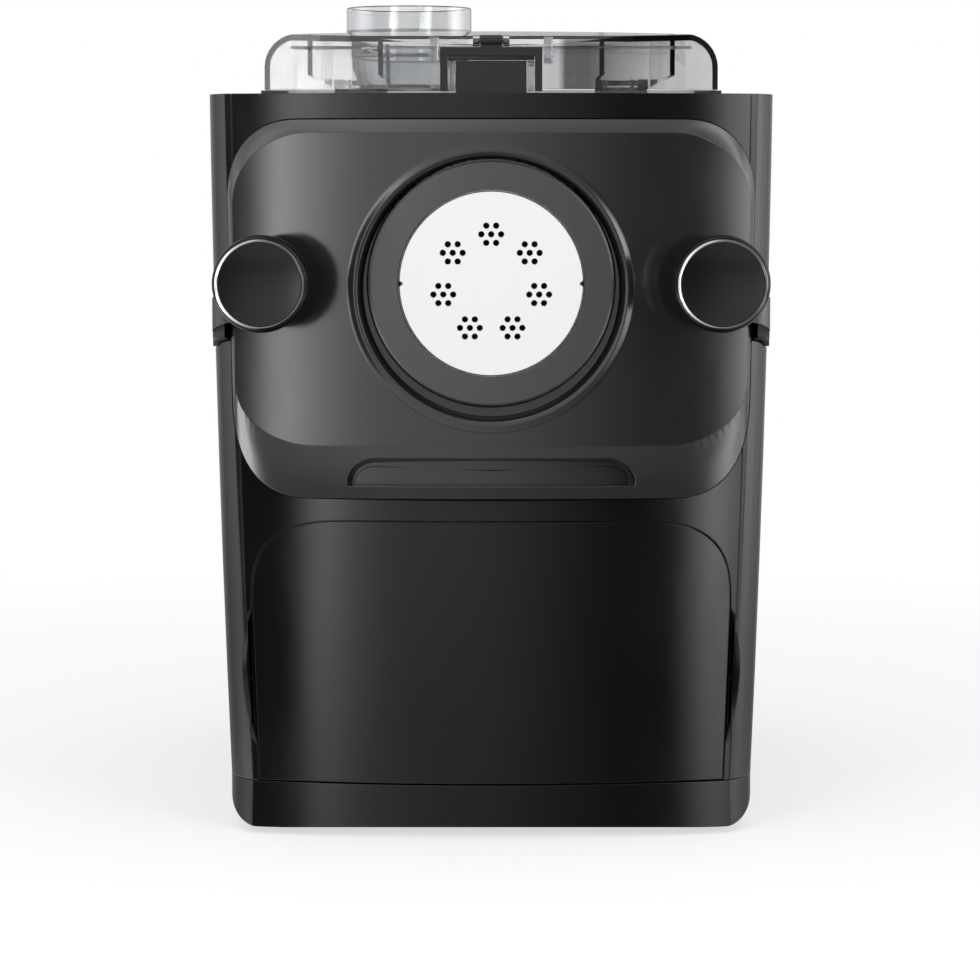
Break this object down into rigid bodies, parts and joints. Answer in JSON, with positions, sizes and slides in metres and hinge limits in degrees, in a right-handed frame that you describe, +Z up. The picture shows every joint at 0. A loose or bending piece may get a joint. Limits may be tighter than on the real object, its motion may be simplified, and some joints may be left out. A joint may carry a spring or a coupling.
{
  "type": "electric pasta maker",
  "caption": "Tall countertop pasta maker: tapered black housing, clamped front panel with white shaping disc, two side knobs, clear lid with liquid cup, and a storage drawer.",
  "frame": {"origin": "under the middle of the machine's overall width and depth, on the plane its feet stand on", "axes": "+Z up, the front panel faces -Y, +X to the right seen from the front"},
  "size_m": [0.24, 0.372, 0.3531],
  "materials": {
    "housing_black": "fine satin",
    "panel_grey": "satin, slightly lighter than the housing",
    "ring_grey": "flat matt",
    "disc_white": "smooth white food-grade plastic",
    "clear_plastic": "clear, polished",
    "trim_chrome": "polished",
    "knob_black": "semi-gloss",
    "latch_black": "gloss",
    "window_black": "polished black",
    "button_white": "satin",
    "brushed_steel": "brushed",
    "bare_steel": "machined",
    "cast_alloy": "die-cast",
    "gear_nylon": "moulded nylon",
    "bronze": "sintered bronze",
    "rubber_black": "matt",
    "tray_grey": "satin",
    "board_green": "lacquered",
    "stirrer_grey": "glass-filled, satin"
  },
  "bodies": {
    "housing": {"base_tray": "housing_black", "rubber_feet": "rubber_black", "front_fascia": "housing_black", "left_side_shell": "housing_black", "right_side_shell": "housing_black", "rear_panel": "housing_black", "top_deck": "housing_black", "display_window": "window_black", "control_board": "board_green", "power_inlet": "knob_black", "chassis": "bare_steel", "gearbox_housing": "cast_alloy", "gearbox_cover": "cast_alloy", "shaft_bearings": "bronze", "layshaft_axle": "bare_steel", "motor": "cast_alloy", "housing_screws": "bare_steel", "mixing_chamber": "clear_plastic", "extrusion_tube": "cast_alloy", "shaping_disc": "disc_white", "retaining_ring": "ring_grey", "front_panel": "panel_grey", "lid_hinge_brackets": "housing_black", "lid_hinge_pins": "bare_steel", "latch_catch": "latch_black", "lid_switch": "knob_black", "arm_pivot_pins": "bare_steel", "drawer_runners": "tray_grey"},
    "lid": {"lid": "clear_plastic", "latch_pin": "latch_black"},
    "latch": {"lid_latch": "latch_black"},
    "cup": {"liquid_cup": "clear_plastic"},
    "left_arm": {"left_arm": "brushed_steel"},
    "right_arm": {"right_arm": "brushed_steel"},
    "left_pad": {"left_thrust_pad": "rubber_black"},
    "right_pad": {"right_thrust_pad": "rubber_black"},
    "left_knob": {"left_knob": "knob_black", "left_knob_trim": "trim_chrome", "left_knob_cap": "knob_black"},
    "right_knob": {"right_knob": "knob_black", "right_knob_trim": "trim_chrome", "right_knob_cap": "knob_black"},
    "drawer": {"drawer_front": "housing_black", "drawer_tray": "tray_grey", "stored_discs": "disc_white"},
    "power_button": {"power_button": "button_white"},
    "program_button": {"program_button": "button_white"},
    "start_button": {"start_button": "button_white"},
    "stirrer": {"stirring_bar": "stirrer_grey", "auger_screw": "stirrer_grey", "drive_shaft": "bare_steel", "output_gear": "gear_nylon"},
    "layshaft": {"layshaft_gear": "gear_nylon"},
    "rotor": {"motor_pinion": "bare_steel"}
  },
  "joints": [
    {"name": "lid_hinge", "type": "hinge", "parent": "housing", "child": "lid", "pos_m": [0, 0.074, 0.3212], "axis": [-1, 0, 0], "range_deg": [0, 95]},
    {"name": "latch_flip", "type": "hinge", "parent": "lid", "child": "latch", "pos_m": [0, -0.1385, 0.3362], "axis": [-1, 0, 0], "range_deg": [0, 80]},
    {"name": "cup_lift", "type": "slide", "parent": "lid", "child": "cup", "axis": [0, 0, 1], "range_m": [0, 0.06]},
    {"name": "left_arm_swing", "type": "hinge", "parent": "housing", "child": "left_arm", "pos_m": [-0.11436, -0.10097, 0.218], "axis": [0, 0, -1], "range_deg": [0, 95]},
    {"name": "left_pad_slide", "type": "slide", "parent": "left_arm", "child": "left_pad", "axis": [0, -1, 0], "range_m": [0, 0.004]},
    {"name": "left_knob_turn", "type": "hinge", "parent": "left_pad", "child": "left_knob", "pos_m": [-0.0942, -0.17, 0.236], "axis": [0, -1, 0], "range_deg": [0, 720]},
    {"name": "right_arm_swing", "type": "hinge", "parent": "housing", "child": "right_arm", "pos_m": [0.11436, -0.10097, 0.218], "axis": [0, 0, 1], "range_deg": [0, 95]},
    {"name": "right_pad_slide", "type": "slide", "parent": "right_arm", "child": "right_pad", "axis": [0, -1, 0], "range_m": [0, 0.004]},
    {"name": "right_knob_turn", "type": "hinge", "parent": "right_pad", "child": "right_knob", "pos_m": [0.0942, -0.17, 0.236], "axis": [0, -1, 0], "range_deg": [0, 720]},
    {"name": "drawer_slide", "type": "slide", "parent": "housing", "child": "drawer", "axis": [0, -1, 0], "range_m": [0, 0.16]},
    {"name": "power_press", "type": "slide", "parent": "housing", "child": "power_button", "axis": [0, 0, -1], "range_m": [0, 0.0012], "stiffness_N_per_m": 900, "springref_m": -0.001},
    {"name": "program_press", "type": "slide", "parent": "housing", "child": "program_button", "axis": [0, 0, -1], "range_m": [0, 0.0012], "stiffness_N_per_m": 900, "springref_m": -0.001},
    {"name": "start_press", "type": "slide", "parent": "housing", "child": "start_button", "axis": [0, 0, -1], "range_m": [0, 0.0012], "stiffness_N_per_m": 900, "springref_m": -0.001},
    {"name": "stirrer_spin", "type": "hinge", "parent": "housing", "child": "stirrer", "pos_m": [0, 0, 0.2355], "axis": [0, -1, 0], "continuous": true},
    {"name": "layshaft_spin", "type": "hinge", "parent": "housing", "child": "layshaft", "pos_m": [0, 0, 0.1555], "axis": [0, -1, 0], "continuous": true},
    {"name": "rotor_spin", "type": "hinge", "parent": "housing", "child": "rotor", "pos_m": [0, 0, 0.1105], "axis": [0, -1, 0], "continuous": true}
  ],
  "couplings": [
    {"joint": "layshaft_spin", "follows": "stirrer_spin", "ratio": -4.7143},
    {"joint": "rotor_spin", "follows": "stirrer_spin", "ratio": 23.571},
    {"joint": "left_pad_slide", "follows": "left_knob_turn", "m_per_rad": 0.00031831},
    {"joint": "right_pad_slide", "follows": "right_knob_turn", "m_per_rad": 0.00031831}
  ]
}
